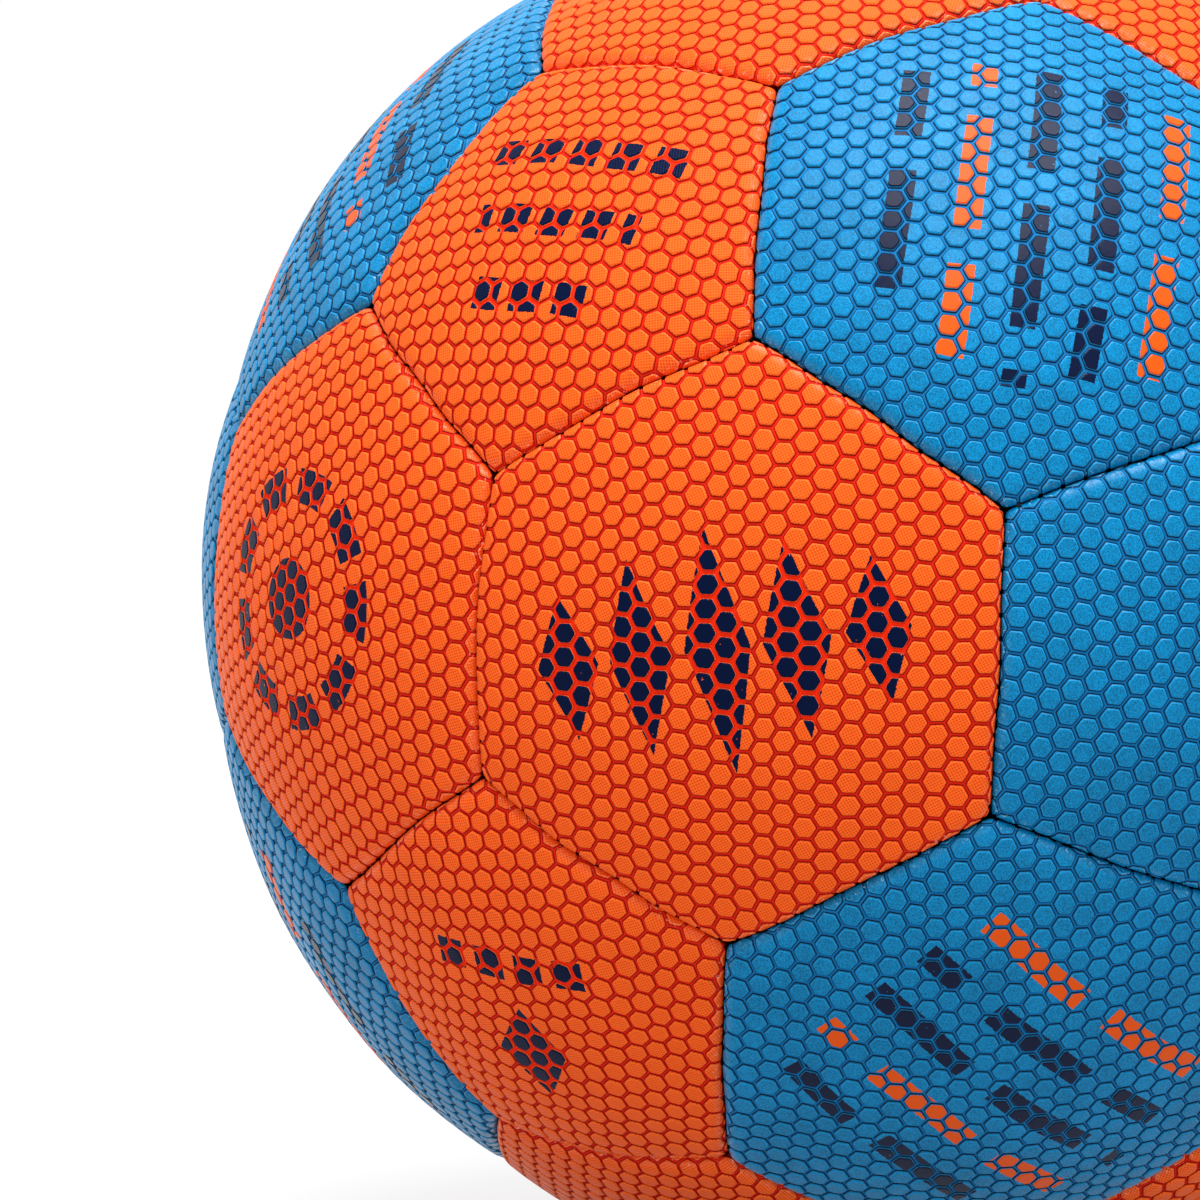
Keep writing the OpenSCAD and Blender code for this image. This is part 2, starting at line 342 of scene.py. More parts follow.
def dashed_ring(x, y):
    """A dot in a ring of nine dashes."""
    dot, ring, half_width, dashes, half_dash = 4.6, 12.6, 1.9, 9, 0.24
    radius = (x * x + y * y).root()
    turn = y.math("ARCTAN2", x)
    dash = repeat(turn, math.tau / dashes)[1] < half_dash
    return ((abs(radius - ring) < half_width) * dash).most(radius < dot), None


def dash_rows(x, y):
    """Three rows of short dashes, the upper row longest."""
    row_step, row_share, step, half_dash = 9.0, 0.2, 5.4, 1.85
    rows = (y + row_step * 1.5) / row_step
    row = rows.floor()
    inside = (abs(rows.fraction() - 0.5) < row_share) * (abs(row - 1) < 1.5)
    dash = repeat(x, step)[1] < half_dash
    return inside * dash * (abs(x) < step * 1.5 + row * (step / 2)), None


def dashes_over_lozenge(x, y):
    """A row of four short dashes over one lozenge."""
    step, half_dash, row_height, half_row = 5.2, 1.75, 6.5, 1.7
    half_width, half_height, drop = 4.4, 6.6, 5.5
    dash = repeat(x - step / 2, step)[1] < half_dash
    row = (abs(y - row_height) < half_row) * dash * (abs(x) < step * 2)
    lozenge = abs(x) / half_width + abs(y + drop) / half_height < 1
    return row.most(lozenge), None


def broken_stripes(x, y):
    """Straight stripes of dashes, each shifted along from the last, two navy ones for each
    orange one."""
    step, half_width, dash_step, dash_share, shift = 7.2, 1.45, 19, 0.76, 8.3
    half_length, shorter = 21, 2.2
    along, across = slanted(x, y, 0.94, 0.34)
    index, aside = repeat(across, step)
    stripe = (aside < half_width) * (abs(index) < 2.5)
    dash = ((along + index * shift) / dash_step).fraction() < dash_share
    orange = (index / 3 + 0.4).fraction() < 0.3
    inside = stripe * dash * (abs(along) < half_length - abs(index) * shorter)
    return inside * (1 - orange), inside * orange


PRINTS = {
    "orange_hex_panel_1": dashed_ring, "orange_hex_panel_4": dashed_ring,
    "orange_hex_panel_2": lozenge_row, "orange_hex_panel_5": lozenge_row,
    "orange_pent_panel_3": dash_rows, "orange_pent_panel_4": dash_rows,
    "orange_pent_panel_1": dashes_over_lozenge, "orange_pent_panel_2": dashes_over_lozenge,
}
# Degrees that a panel's print is turned by
PRINT_TURN = {"orange_hex_panel_2": 11, "orange_hex_panel_5": 11, "orange_pent_panel_1": -4}
# Degrees that a panel's rows of cells are turned by. The others take a turn from their number
CELL_TURN = {
    "orange_pent_panel_3": 3.5, "orange_hex_panel_1": 27, "orange_hex_panel_2": 29.5,
    "blue_hex_panel_6": 21.5, "blue_pent_panel_2": 24.5, "blue_hex_panel_2": -28,
    "orange_pent_panel_1": 8, "orange_hex_panel_7": -1, "orange_hex_panel_3": 1,
    "blue_hex_panel_5": 38.5, "blue_hex_panel_1": 35, "orange_pent_panel_8": 46,
}
NUMBER_TURN = 23
# Millimetres that the cells of a panel lie aside and up for each step of its number, and the
# lengths after which these start again from nothing
CELL_STEPS, CELL_SPANS = (0.37, 0.61), (1.3, 1.1)


def cover_finish(name, is_orange, pattern, colours):
    """Embossed synthetic leather: cloth weave on the orange cells, fine grain on the blue
    ones, grooves darkened by painted shade, painted highlights, and ink on the raised
    cells alone."""
    f = Finish(name)
    family = "orange" if is_orange else "blue"
    tone, foot_shade_tone, groove_tone, rim_tone = [
        getattr(colours, family + part) for part in ("", "_foot", "_groove", "_rim")]
    # Painted shade for the crack between the folds of a seam
    seam_shade_tone = toned(foot_shade_tone, 0.4)
    x, y = [(part - 0.5) * SHEET_SPAN
            for part in f.parts(f.node("ShaderNodeUVMap", {"uv_map": "sheet"}))[:2]]
    place = f.place()
    groove, fold = f.attribute("groove"), f.attribute("fold")
    mottle = f.noise(place, scale=140.0, detail=3.0)
    speck = f.noise(place, scale=2600.0)
    # The last of the four values is the colour of the painted highlight specks on the fold
    if is_orange:
        across, along = slanted(x, y, 0.95, 0.31)
        turn = math.pi / WEAVE_PITCH
        grain = 1 - abs((across * turn).sine() * (along * turn).sine())
        shade = f.ease(grain * 0.8 + mottle * 0.25 + speck * 0.25, 0.1, 1.05)
        lighter, matt, gloss, painted_glint_tone = 1.3, 0.38, 0.045, (1.0, 0.55, 0.42)
    else:
        grain = f.noise(place, scale=6500.0, roughness=0.7)
        shade = f.ease(grain * 0.8 + mottle * 0.2, 0.3, 0.7)
        lighter, matt, gloss, painted_glint_tone = 1.6, 0.34, 0.11, (0.35, 0.68, 0.9)
    colour = f.blend(shade, toned(tone, 0.5), toned(tone, lighter))
    # The bevel around a cell's top gets a painted highlight: a lighter tone all round it
    crest = f.ease(groove, 0.0, 0.06) * (1 - f.ease(groove, 0.1, 0.18))
    colour = f.blend(crest * 0.55, colour, toned(tone, 1.8, 0.015))
    roughness = matt - mottle * 0.08
    ragged = (speck - 0.5) * 0.25
    navy, amber = pattern(x + ragged, y - ragged)
    if navy is not None:
        # Ink lies on the cells alone and has pinholes. Beside it an orange groove is brighter, with
        # less painted shade at the foot of the cells
        whole = (f.noise(place, scale=1500.0, roughness=0.7) < 0.74) * (groove < 0.2)
        colour = f.blend(navy * whole, colour, colours.navy_ink)
        roughness = roughness - navy * whole * 0.08
        if amber is not None:
            colour = f.blend(amber * whole, colour, colours.orange_ink)
        if is_orange:
            foot_shade_tone = f.blend(navy * 0.7, foot_shade_tone, rim_tone)
            groove_tone = f.blend(navy, groove_tone, rim_tone)
    # Painted shade in the grooves: the foot of a cell's wall is the darkest line, and the floor of
    # the groove, its own darker tone with painted shade, is less dark
    walled = f.ease(groove, 0.24, 0.42)
    colour = f.blend(walled, colour, foot_shade_tone)
    colour = f.blend(f.ease(groove, 0.56, 0.76), colour, groove_tone)
    # Towards the seam: the fold turns partly to the rim tone and is less rough, painted highlights
    # lie in specks on it, and painted shade fills the crack between the folds
    fold_rim = f.ease(fold + speck * 0.3 - 0.15, 0.6, 0.85)
    colour = f.blend(fold_rim * 0.3, colour, rim_tone)
    painted_glint = f.ease(speck, 0.62, 0.7) * f.ease(fold, 0.3, 0.6)
    colour = f.blend(painted_glint * 0.5, colour, painted_glint_tone)
    colour = f.blend(f.ease(fold, 0.86, 0.97), colour, seam_shade_tone)
    normal = f.bump(grain * (1 - walled), 0.03 * MM, 0.9)
    polished = f.ease(fold, 0.15, 0.45) * f.ease(speck + mottle * 0.5, 0.55, 0.9) * (1 - walled)
    return f.surface(colour, roughness + walled * 0.35 - fold_rim * 0.12, normal,
                     Coat_Weight=polished * (1 - f.ease(fold, 0.7, 0.9)) * 0.5,
                     Coat_Roughness=0.3, Specular_IOR_Level=gloss)


# The panels of the cover

# Radians, along each axis of a ball with radius 1, of the waves that hand sewing leaves
SEWING_WAVES = ((31, 17, 5), (-12, 29, 21), (9, -23, 33), (37, 5, -19), (-6, 38, -11),
                (13, 9, -17), (-15, 12, 10))
WAVE_PHASE = 2       # radians that each wave starts after the last
VALVE_CALM = 0.01    # 1 less the cosine of the angle around the valve in which they die out


def unit(vectors):
    """The vectors made 1 long."""
    return vectors / np.linalg.norm(vectors, axis=-1, keepdims=True)


def way_to(node):
    """Direction from the centre of the ball to the middle of a CAD node."""
    low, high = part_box(node)
    return unit(np.array(low + high))


def spun(points, angle):
    """Flat points, turned around the origin by an angle."""
    c, s = math.cos(angle), math.sin(angle)
    return points @ np.array([[c, s], [-s, c]])


def panel_middles():
    """Directions of the middles of the 12 five-sided panels, the corners of an icosahedron,
    and of the 20 six-sided ones, the middles of its faces."""
    reach = 2.1   # a little over an edge of this icosahedron, which is 2 long
    corners = np.array([np.roll((0, b, a), turn) for turn in range(3)
                        for a in (-1, 1) for b in (-GOLDEN, GOLDEN)])
    faces = [corners[list(t)].sum(0) for t in combinations(range(12), 3)
             if all(np.linalg.norm(corners[i] - corners[j]) < reach
                    for i, j in combinations(t, 2))]
    return unit(corners), unit(np.array(faces))


class Cover:
    """One panel of the cover: its middle, its own directions and the planes of its seams."""

    def __init__(self, name, sizes):
        self.name = name
        self.is_orange = name.startswith("orange")
        self.crown, self.seam = sizes.crown_radius / MM, sizes.seam_radius / MM
        pents, hexes = panel_middles()
        family = hexes if "_hex_" in name else pents
        self.middle = family[np.argmax(family @ way_to(name))]
        self.right = unit(np.cross((0, 0, 1), self.middle))
        self.up = np.cross(self.middle, self.right)
        others = np.concatenate([pents, hexes])
        closeness = others @ self.middle
        beside = others[(closeness < SAME) & (closeness > BESIDE)]
        # Angle from the middle to a side: half the way to the next six-sided panel, and for a
        # five-sided one what is left of its way to a six-sided one
        apothem = np.arccos(np.max(hexes @ hexes[0] * (hexes @ hexes[0] < SAME))) / 2
        if "_pent_" in name:
            apothem = np.arccos(np.max(hexes @ pents[0])) - apothem
        across = unit(beside - (beside @ self.middle)[:, None] * self.middle)
        self.inward = math.sin(apothem) * self.middle - math.cos(apothem) * across
        self.along = np.cross(self.inward, self.middle)
        self.apothem = apothem
        # The crown is a smaller sphere, through the panel's middle and the middles of its sides
        self.centre = ((self.crown ** 2 - self.seam ** 2)
                       / (2 * (self.crown - self.seam * math.cos(apothem))))
        self.round = self.crown - self.centre

    def directions(self, sheet):
        """Places on the flat cover laid over the ball, each at its own distance from the
        middle of the panel, as directions from the centre of the ball."""
        r = np.hypot(sheet[:, 0], sheet[:, 1])[:, None]
        flat = (sheet[:, :1] * self.right + sheet[:, 1:2] * self.up) / np.maximum(r, 1e-9)
        return np.cos(r / self.crown) * self.middle + np.sin(r / self.crown) * flat

    def crown_height(self, directions):
        """Distance from the ball's centre to the crowned surface, a smaller sphere whose
        centre lies on the panel's axis."""
        along = directions @ self.middle
        return self.centre * along + np.sqrt(
            self.round ** 2 - self.centre ** 2 * (1 - along ** 2))

    def edge_distance(self, directions, softness):
        """Distance along the ball to the nearest seam, where two seams meet a soft minimum of
        both, and the direction that leads away from it."""
        to_seams = self.crown * np.arcsin(directions @ self.inward.T)
        nearest = to_seams.min(1, keepdims=True)
        weight = np.exp((nearest - to_seams) / softness)
        total = weight.sum(1, keepdims=True)
        away = (weight / total) @ self.inward
        away -= (away * directions).sum(1, keepdims=True) * directions
        return nearest[:, 0] - softness * np.log(total[:, 0]), unit(away)

    def stitches(self, directions, pitch, half_seam):
        """1 at each stitch of the nearest seam and 0 halfway to the next, as a raised cosine
        of the way along the seam, which fades out before the corners."""
        seam = np.argmin(directions @ self.inward.T, 1)
        way = self.crown * np.arcsin((directions * unit(self.along)[seam]).sum(1))
        fade = np.clip((half_seam - np.abs(way)) / pitch, 0, 1)
        return (0.5 - 0.5 * np.cos(2 * math.pi * way / pitch)) * fade


def fold_length(sizes):
    """Length of the quarter ellipse that the cover follows around the fold."""
    reach, drop = sizes.fold_reach / MM, sizes.fold_drop / MM
    return math.pi / 2 * math.sqrt((reach ** 2 + drop ** 2) / 2)


def edge_run(cover, sheet, sizes):
    """Length of cover between a place on it and the foot of the fold."""
    distance = cover.edge_distance(cover.directions(sheet), sizes.corner_round / MM)[0]
    spare = fold_length(sizes) - (sizes.fold_reach + sizes.seam_gap / 2) / MM
    return distance + spare


def laid_cover(cover, sheet, sink, sizes, emboss):
    """The cover laid over the ball: crowned in the middle of the panel, and around the fold
    along a quarter ellipse that ends straight down beside the seam, deepest at a stitch. A
    groove sinks square to the surface, by less on the fold, where the cover is stretched: what
    it loses grows as a smooth step. Also gives the share of the way around the fold."""
    directions = cover.directions(sheet)
    distance, away = cover.edge_distance(directions, sizes.corner_round / MM)
    reach, drop, gap = sizes.fold_reach / MM, sizes.fold_drop / MM, sizes.seam_gap / MM / 2
    whole = fold_length(sizes)
    turned = np.clip(1 - (distance + whole - reach - gap) / whole, 0, 1)
    angle = turned * math.pi / 2
    shift = np.where(turned > 0, gap + reach * (1 - np.sin(angle)) - distance, 0)
    out = unit(directions + away * (shift / cover.crown)[:, None])
    pulled = cover.stitches(directions, sizes.stitch_pitch / MM, sizes.seam_half / MM)
    low = drop + sizes.stitch_dimple / MM * pulled
    height = cover.crown_height(out) - low * (1 - np.cos(angle))
    normal = unit(out * (np.cos(angle) / drop)[:, None] - away * (np.sin(angle) / reach)[:, None])
    depth = sink * (emboss.depth / MM) * (1 - emboss.fold_fade * turned ** 2 * (3 - 2 * turned))
    return out * height[:, None] - normal * depth[:, None], turned


def uneven(places, sizes):
    """Hand sewing leaves no panel quite even. Slow sine waves, the same on both sides of a
    seam, move each place sideways and let it sink a little, and die out around the valve."""
    out = unit(places)
    waves = np.sin(out @ np.array(SEWING_WAVES).T + np.arange(len(SEWING_WAVES)) * WAVE_PHASE)
    calm = 1 - np.exp(-((1 - out @ way_to("valve_core")) / VALVE_CALM))
    side = np.stack([waves[:, 0] + waves[:, 1], waves[:, 2] - waves[:, 1],
                     waves[:, 3] + waves[:, 4]], -1)
    side -= (side * out).sum(1, keepdims=True) * out
    sink = (2 + waves[:, 5] + waves[:, 6]) / 4 * sizes.sag / MM
    return places + (side * sizes.waviness / MM - out * sink[:, None]) * calm[:, None]


def cell_field(turn, reach, emboss):
    """A honeycomb of embossed cells in the plane, as points (x, y, sink, groove, crest) and
    faces. A cell is a middle point, two rings of twelve points above and below the bevel of
    its top, two for each side, and two rings of six: the foot of its wall and the middle line
    of the groove, which it shares with its neighbours. Crest marks the ring above the bevel,
    whose edges stay sharp."""
    pitch = emboss.pitch / MM
    half_groove, half_floor = emboss.groove_width / MM / 2, emboss.floor_width / MM / 2
    bevel, cut = emboss.edge_band / MM, emboss.corner_cut / MM
    sides, half_side = np.radians(np.arange(6) * 60), math.radians(30)
    points = [np.array([[0, 0, -emboss.dome / emboss.depth, 0, 0]])]
    for apothem, sink, groove, crest in (
            (pitch / 2 - half_groove - bevel, 0, 0, 1),
            (pitch / 2 - half_groove, emboss.edge_bevel / emboss.depth, BEVEL_FOOT, 0)):
        half = apothem * math.tan(half_side) - cut
        ends = np.stack([np.stack([apothem * np.cos(sides) - s * half * np.sin(sides),
                                   apothem * np.sin(sides) + s * half * np.cos(sides)], -1)
                         for s in (-1, 1)], 1).reshape(12, 2)
        points.append(np.column_stack([ends, np.tile((sink, groove, crest), (12, 1))]))
    for apothem, groove in ((pitch / 2 - half_floor, WALL_FOOT), (pitch / 2, 1)):
        corner = apothem / math.cos(half_side)
        ends = corner * np.stack([np.cos(sides + half_side), np.sin(sides + half_side)], -1)
        points.append(np.column_stack([ends, np.tile((1, groove, 0), (6, 1))]))
    points = np.concatenate(points)
    i, side = np.arange(12), np.arange(6)
    j, after = (i + 1) % 12, (side + 1) % 6
    top, edge, foot, middle = 1, 13, 25, 31
    start, end, next_start = edge + 2 * side, edge + 2 * side + 1, edge + 2 * after
    faces = np.concatenate([np.stack(corners, -1) for corners in (
        (np.zeros(12, int), top + i, top + j),
        (top + i, edge + i, edge + j), (top + i, edge + j, top + j),
        (end, foot + side, next_start),
        (start, foot + (side - 1) % 6, foot + side), (start, foot + side, end),
        (foot + side, middle + side, middle + after),
        (foot + side, middle + after, foot + after))])
    # Rows are closer than the cells in them, and slant, which takes up to 1.2 times as many
    count = int(reach / pitch * 1.2) + 2
    a, b = np.meshgrid(np.arange(-count, count + 1), np.arange(-count, count + 1))
    middles = np.stack([a + b / 2, b * math.sqrt(3) / 2], -1).reshape(-1, 2) * pitch
    middles = middles[np.hypot(*middles.T) < reach]
    field = np.tile(points, (len(middles), 1, 1))
    field[:, :, :2] += middles[:, None]
    all_faces = faces[None] + len(points) * np.arange(len(middles))[:, None, None]
    field = field.reshape(-1, field.shape[2])
    keys = np.round(field[:, :2] * MERGE_STEPS).astype(np.int64)
    _, first, back = np.unique(keys, axis=0, return_index=True, return_inverse=True)
    field, all_faces = field[first], back.reshape(-1)[all_faces.reshape(-1, 3)]
    field[:, :2] = spun(field[:, :2], math.radians(turn))
    return field, all_faces


def split_edges(points, faces, share_of):
    """Puts a new point on each edge that share_of gives a share for, and replaces each face
    by the two, three or four that then fill it."""
    sides = np.sort(faces[:, [0, 1, 1, 2, 2, 0]].reshape(-1, 2), 1)
    edges, back = np.unique(sides, axis=0, return_inverse=True)
    share = share_of(points[edges[:, 0]], points[edges[:, 1]])
    cut = ~np.isnan(share)
    at = share[cut, None]
    fresh = points[edges[cut, 0]] * (1 - at) + points[edges[cut, 1]] * at
    number = np.full(len(edges), -1)
    number[cut] = len(points) + np.arange(cut.sum())
    new = number[back.reshape(-1)].reshape(-1, 3)
    cuts = (new >= 0).sum(1)
    # Each face is turned so that its first side is cut, and where two are, its first two
    first = np.argmax(new >= 0, 1)
    spare = np.argmax(new < 0, 1)
    first = np.where(cuts == 2, (spare + 1) % 3, first)
    turn = (first[:, None] + np.arange(3)) % 3
    f, n = np.take_along_axis(faces, turn, 1), np.take_along_axis(new, turn, 1)
    one, two, three = cuts == 1, cuts == 2, cuts == 3
    parts = [faces[cuts == 0]]
    for chosen, corners in (
            (one, ("f0", "n0", "f2")), (one, ("n0", "f1", "f2")),
            (two, ("f0", "n0", "n1")), (two, ("n0", "f1", "n1")), (two, ("f0", "n1", "f2")),
            (three, ("f0", "n0", "n2")), (three, ("n0", "f1", "n1")),
            (three, ("n2", "n1", "f2")), (three, ("n0", "n1", "n2"))):
        parts.append(np.stack([(f if c[0] == "f" else n)[chosen, int(c[1])]
                               for c in corners], -1))
    return np.concatenate([points, fresh]), np.concatenate(parts)


def trimmed(points, faces, column):
    """Cuts the faces along the line where a column of the points is zero, and keeps the side
    where it is above zero."""
    def crossing(a, b):
        below = (a[:, column] > 0) != (b[:, column] > 0)
        with np.errstate(divide="ignore", invalid="ignore"):
            return np.where(below, a[:, column] / (a[:, column] - b[:, column]), np.nan)
    points, faces = split_edges(points, faces, crossing)
    faces = faces[points[faces, column].mean(1) > 0]
    used, back = np.unique(faces, return_inverse=True)
    return points[used], back.reshape(-1, 3)


def open_edges(faces):
    """The directed sides that only one face has."""
    sides = faces[:, [0, 1, 1, 2, 2, 0]].reshape(-1, 2)
    key = sides[:, 0] * (faces.max() + 1) + sides[:, 1]
    mirror = sides[:, 1] * (faces.max() + 1) + sides[:, 0]
    return sides[~np.isin(key, mirror)]


def joined_rings(cover, places, outer, inner):
    """Fills the space between two rings of points around the middle of a panel, seen from
    below. The steps along both rings are put in the order of their angles, and each makes a
    face with the point that the other ring has come to."""
    def walked(ring):
        angle = np.arctan2(places[ring] @ cover.up, places[ring] @ cover.right)
        order = np.argsort(angle)
        return (np.append(ring[order], ring[order[0]]),
                np.append(angle[order], angle[order[0]] + math.tau))
    (outer, outer_angle), (inner, inner_angle) = walked(outer), walked(inner)
    order = np.argsort(np.concatenate([outer_angle[1:], inner_angle[1:]]), kind="stable")
    is_inner = order >= len(outer) - 1
    i, j = np.cumsum(~is_inner), np.cumsum(is_inner)
    return np.where(is_inner[:, None], np.stack([inner[j - 1], inner[j], outer[i]], -1),
                    np.stack([outer[i], outer[i - 1], inner[j]], -1))


def faces_between(upper, lower, sides):
    """The two faces under each side of a loop of points, down to a second loop."""
    a, b, c, d = upper[sides[:, 0]], upper[sides[:, 1]], lower[sides[:, 0]], lower[sides[:, 1]]
    return [np.stack([b, a, c], -1), np.stack([b, c, d], -1)]


def inner_wall(cover, places, faces, hole, sizes):
    """Closes a panel below: from its open edges straight down beside the seams, in under the
    folded edge, up along its inside, and across under the cover to the middle, or to the
    valve's hole."""
    # Millimetres past the hole in which its open edges lie, and how far out the last ring is,
    # as a share of the way from the middle
    hole_margin, last_ring = 0.5, 0.62
    edges = open_edges(faces)
    distance = np.arccos(np.clip(unit(places) @ cover.middle, -1, 1)) * cover.crown
    around_hole = distance[edges].max(1) < hole + hole_margin
    loop, sides = np.unique(edges[~around_hole], return_inverse=True)
    sides = sides.reshape(-1, 2)
    out = unit(places[loop])
    inset = 1 - sizes.edge_thickness / MM / (cover.crown * cover.apothem)
    under = sizes.cover_thickness / MM

    def drawn_in(part):
        return unit(out * part + cover.middle * (1 - part))

    def below(to):
        return to * (cover.crown_height(to) - under)[:, None]

    foot = sizes.edge_foot_radius / MM
    rings = [drawn_in(1) * foot, drawn_in(inset) * foot, below(drawn_in(inset)),
             below(drawn_in(last_ring))]
    parts, count, upper = [faces], len(places), loop
    for ring in rings:
        lower = count + np.arange(len(ring))
        parts += faces_between(upper, lower, sides)
        count, upper = count + len(ring), lower
    if hole:
        mouth, sides = np.unique(edges[around_hole], return_inverse=True)
        lower = count + np.arange(len(mouth))
        rings.append(below(unit(places[mouth])))
        parts += faces_between(mouth, lower, sides.reshape(-1, 2))
        parts.append(joined_rings(cover, np.concatenate([places] + rings), upper, lower))
    else:
        rings.append(below(cover.middle[None]))
        parts.append(faces_between(upper, np.full(len(upper), count), sides)[0])
    return np.concatenate([places] + rings), np.concatenate(parts)


def print_angle(cover):
    """Angle from a panel's own right to the right of its print: on a blue six-sided panel the
    print's up leads towards the middle of the blue cap."""
    if cover.is_orange or "_pent_" in cover.name:
        return math.radians(PRINT_TURN.get(cover.name, 0))
    cap = np.array((math.copysign(1, cover.middle[0]), 0, 0))
    return math.atan2(cap @ cover.up, cap @ cover.right) - math.pi / 2


def cover_piece(name, sizes, emboss, material):
    """One panel of the cover: the honeycomb cut along the foot of the fold, laid over the
    ball, and closed below."""
    cover = Cover(name, sizes)
    number = int(name.rsplit("_", 1)[1])
    reach = cover.crown * cover.apothem * 1.3   # past the corners, also when moved aside
    field, faces = cell_field(CELL_TURN.get(name, number * NUMBER_TURN), reach, emboss)
    field[:, :2] += [step * number % span for step, span in zip(CELL_STEPS, CELL_SPANS)]
    points = np.column_stack([field, edge_run(cover, field[:, :2], sizes)])
    points, faces = trimmed(points, faces, TRIM)
    whole, fine = fold_length(sizes), emboss.fine_edge / MM

    def long_on_fold(a, b):
        long = np.hypot(*(a - b)[:, :2].T) > fine
        return np.where(long & (np.minimum(a[:, TRIM], b[:, TRIM]) < whole), 0.5, np.nan)
    points, faces = split_edges(points, faces, long_on_fold)
    hole = sizes.valve_hole / MM if cover.middle @ way_to("valve_core") > SAME else 0
    if hole:
        points[:, TRIM] = np.hypot(*points[:, :2].T) - hole
        points, faces = trimmed(points, faces, TRIM)
    places, turned = laid_cover(cover, points[:, :2], points[:, SINK], sizes, emboss)
    closed, all_faces = inner_wall(cover, uneven(places, sizes), faces, hole, sizes)
    sheet = np.zeros((len(closed), 2))
    sheet[:len(points)] = spun(points[:, :2], -print_angle(cover))
    piece = new_mesh("cover_" + name, closed * MM, all_faces, material)
    for key, outside in (("groove", points[:, GROOVE]), ("fold", turned)):
        values = np.ones(len(closed), np.float32)
        values[:len(outside)] = outside
        piece.data.attributes.new(key, "FLOAT", "POINT").data.foreach_set("value", values)
    crest = np.zeros(len(closed), bool)
    crest[:len(points)] = points[:, CREST] > ON_CREST
    ends = np.empty(len(piece.data.edges) * 2, np.int32)
    piece.data.edges.foreach_get("vertices", ends)
    sharp = piece.data.attributes.new("sharp_edge", "BOOLEAN", "EDGE")
    sharp.data.foreach_set("value", crest[ends.reshape(-1, 2)].all(1))
    layer = piece.data.uv_layers.new(name="sheet")
    layer.data.foreach_set("uv", (sheet[all_faces.ravel()] / SHEET_SPAN + 0.5).ravel())
    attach(piece, "root")
    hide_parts(name)
    return piece


def new_mesh(name, places, faces, material):
    """A new object of triangles, shaded smooth."""
    mesh = bpy.data.meshes.new(name)
    mesh.vertices.add(len(places))
    mesh.vertices.foreach_set("co", places.astype(np.float32).ravel())
    mesh.loops.add(faces.size)
    mesh.loops.foreach_set("vertex_index", faces.astype(np.int32).ravel())
    mesh.polygons.add(len(faces))
    mesh.polygons.foreach_set("loop_start", np.arange(0, faces.size, 3, dtype=np.int32))
    mesh.polygons.foreach_set("use_smooth", np.ones(len(faces), bool))
    mesh.update(calc_edges=True)
    mesh.validate()
    mesh.materials.append(material)
    piece = bpy.data.objects.new(name, mesh)
    bpy.context.scene.collection.objects.link(piece)
    return piece


def dress(names, material):
    """Gives a CAD node its finish."""
    for name in names:
        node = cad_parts[name]
        node.data.materials.clear()
        node.data.materials.append(material)


def make_covers(context, family):
    """Makes the covers of the panels of one family, with a finish for each print."""
    scene, finishes = context.scene, {}
    names = sorted(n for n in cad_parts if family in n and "_panel_" in n)
    if not names:
        raise RuntimeError("the frame has no panel named " + family)
    for name in names:
        colour = name.split("_")[0]
        pattern = PRINTS.get(name, broken_stripes if name.startswith("blue_hex") else no_print)
        key = colour + "_cover_" + pattern.__name__
        if key not in finishes:
            finishes[key] = cover_finish(key, colour == "orange", pattern, scene.ball_colours)
        cover_piece(name, scene.ball_cover, scene.ball_emboss, finishes[key])
    return {"FINISHED"}


# Operators

class BALL_OT_hex_covers(Operator):
    """Lays the embossed cover over the 20 six-sided panels"""
    bl_idname = "ball.hex_covers"
    bl_label = "Six-sided covers"

    def execute(self, context):
        return make_covers(context, "_hex_")


class BALL_OT_pent_covers(Operator):
    """Lays the embossed cover over the 12 five-sided panels"""
    bl_idname = "ball.pent_covers"
    bl_label = "Five-sided covers"

    def execute(self, context):
        return make_covers(context, "_pent_")


class BALL_OT_seam_thread(Operator):
    """Gives the seam thread its twisted, waxed finish"""
    bl_idname = "ball.seam_thread"
    bl_label = "Seam thread"

    def execute(self, context):
        tone = context.scene.ball_inner.thread
        f = Finish("waxed_thread")
        place = f.place()
        strands = f.node("ShaderNodeTexWave", {"wave_type": "BANDS", "bands_direction": "DIAGONAL"},
                         {"Vector": place, "Scale": 900.0, "Distortion": 2.0})
        colour = f.blend(f.ease(strands, 0.2, 0.8), toned(tone, 0.6), tone)
        dress(("hex_seam_thread", "orange_pent_seam_thread", "blue_pent_seam_thread"),
              f.surface(colour, 0.45, f.bump(strands, 0.05 * MM, 0.6)))
        return {"FINISHED"}


class BALL_OT_padding(Operator):
    """Gives the foam pads their pores and the lining cloths their weave"""
    bl_idname = "ball.padding"
    bl_label = "Foam and lining"

    def execute(self, context):
        inner = context.scene.ball_inner
        f = Finish("closed_cell_foam")
        place = f.place()
        pores = f.node("ShaderNodeTexVoronoi", None, {"Vector": place, "Scale": 1600.0})
        depth = f.ease(pores, 0.1, 0.55)
        colour = f.blend(depth, toned(inner.foam, 0.8), inner.foam)
        dress(("foam_hex_pads", "foam_pent_pads"),
              f.surface(colour, 0.9, f.bump(depth, 0.08 * MM, 0.7)))
        f = Finish("lining_cloth")
        across, _, up = f.parts(f.place())
        turn = 4200.0   # radians of the weave's wave in a metre
        weave = (across * turn).sine() * (up * turn).sine() * 0.5 + 0.5
        colour = f.blend(weave, toned(inner.lining, 0.82), inner.lining)
        dress(("lining_hex_cloths", "lining_pent_cloths"),
              f.surface(colour, 0.85, f.bump(weave, 0.06 * MM, 0.6)))
        return {"FINISHED"}


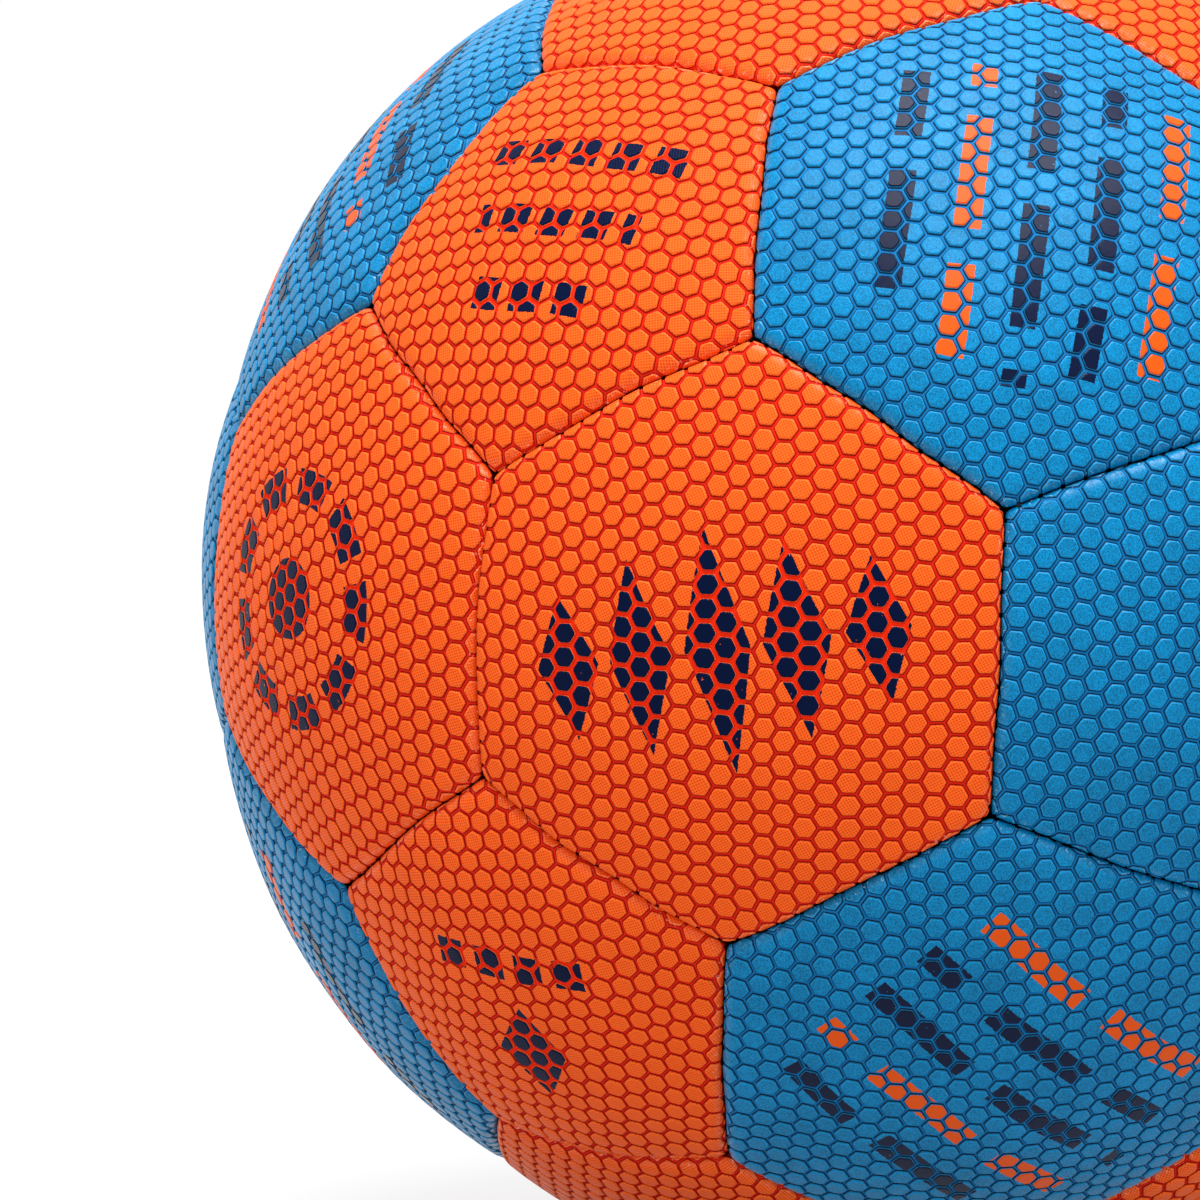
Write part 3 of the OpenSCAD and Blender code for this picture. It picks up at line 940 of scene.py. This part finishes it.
class BALL_OT_bladder(Operator):
    """Gives the bladder and the valve their rubber"""
    bl_idname = "ball.bladder"
    bl_label = "Bladder and valve"

    def execute(self, context):
        inner = context.scene.ball_inner
        for name, tone, nodes, rough in (
                ("bladder_rubber", inner.bladder, ("bladder",), 0.5),
                ("valve_rubber", inner.valve, ("valve_body", "valve_core"), 0.42)):
            f = Finish(name)
            place = f.place()
            cloud = f.noise(place, scale=220.0, detail=4.0)
            grain = f.noise(place, scale=3500.0)
            colour = f.blend(f.ease(cloud, 0.3, 0.7), toned(tone, 0.8), toned(tone, 1.25))
            dress(nodes, f.surface(colour, cloud * 0.12 + rough, f.bump(grain, 0.02 * MM, 0.5),
                                   Specular_IOR_Level=0.2))
        return {"FINISHED"}


class BALL_OT_stage(Operator):
    """Sets up the pale floor, the soft lights and the camera"""
    bl_idname = "ball.stage"
    bl_label = "Stage"

    def execute(self, context):
        scene, values = context.scene, context.scene.ball_stage
        scene.view_settings.view_transform = "Standard"
        f = Finish("pale_floor")
        seen = f.seen()
        away = f.node("ShaderNodeVectorMath", {"operation": "LENGTH"}, {0: f.place()}, "Value")
        # White, but near the ball one fifth is the floor itself, which keeps the shadow
        blank = seen * (f.ease(away, 0.5, 2.5) * 0.2 + 0.8)
        plain = f.node("ShaderNodeBsdfPrincipled", None, {
            "Base Color": f.blend(seen, values.floor_bounce, values.floor),
            "Roughness": 1.0, "Specular IOR Level": 0.0})
        white = f.node("ShaderNodeEmission", None, {"Color": (1, 1, 1, 1), "Strength": 1.0})
        f.end(f.node("ShaderNodeMixShader", None, {0: blank, 1: plain, 2: white}))
        low, half, count = CAD_BOX[0][2], values.floor_size, 4
        side = np.linspace(-half, half, count + 1)
        x, y = np.meshgrid(side, side)
        corners = np.stack([x, y, np.full_like(x, low)], -1).reshape(-1, 3)
        a = (np.arange(count)[:, None] * (count + 1) + np.arange(count)).ravel()
        b, c, d = a + 1, a + count + 2, a + count + 1
        faces = np.concatenate([np.stack([a, b, c], -1), np.stack([a, c, d], -1)])
        new_mesh("floor", corners, faces, f.owner)

        f = Finish("room", bpy.data.worlds)
        strength = f.seen() * (1 - values.sky) + values.sky
        f.end(f.node("ShaderNodeBackground", None,
                     {"Color": (1, 1, 1, 1), "Strength": strength}), "ShaderNodeOutputWorld")
        scene.world = f.owner

        lamp = bpy.data.lights.new("overhead_light", "AREA")
        lamp.energy, lamp.size = values.key_power, values.key_width
        shown = bpy.data.objects.new("overhead_light", lamp)
        shown.location = values.key_place
        scene.collection.objects.link(shown)

        camera = bpy.data.cameras.new("camera")
        camera.lens, camera.sensor_width = values.lens, 36
        camera.clip_start, camera.clip_end = 0.05, 60
        view = bpy.data.objects.new("camera", camera)
        view.location, view.rotation_euler = values.camera_place, values.camera_turn
        scene.collection.objects.link(view)
        scene.camera = view
        return {"FINISHED"}


class BALL_PT_panel(Panel):
    """Lists the operators and values of the ball"""
    bl_idname = "BALL_PT_panel"
    bl_label = "Stitched ball"
    bl_space_type = "VIEW_3D"
    bl_region_type = "UI"
    bl_category = "Ball"

    def draw(self, context):
        for operator in OPERATORS:
            self.layout.operator(operator.bl_idname)
        for name, group in GROUPS.items():
            box = self.layout.box()
            for key in group.__annotations__:
                box.prop(getattr(context.scene, name), key)


GROUPS = {"ball_cover": CoverSizes, "ball_emboss": EmbossSizes, "ball_colours": CoverColours,
          "ball_inner": InnerColours, "ball_stage": StageValues}
OPERATORS = (BALL_OT_hex_covers, BALL_OT_pent_covers, BALL_OT_seam_thread, BALL_OT_padding,
             BALL_OT_bladder, BALL_OT_stage)


def register():
    for cls in tuple(GROUPS.values()) + OPERATORS + (BALL_PT_panel,):
        bpy.utils.register_class(cls)
    for name, group in GROUPS.items():
        setattr(bpy.types.Scene, name, PointerProperty(type=group))


def unregister():
    for name in GROUPS:
        delattr(bpy.types.Scene, name)
    for cls in reversed(tuple(GROUPS.values()) + OPERATORS + (BALL_PT_panel,)):
        bpy.utils.unregister_class(cls)


def main():
    register()
    for operator in OPERATORS:
        family, action = operator.bl_idname.split(".")
        getattr(getattr(bpy.ops, family), action)()


if __name__ == "__main__":
    main()
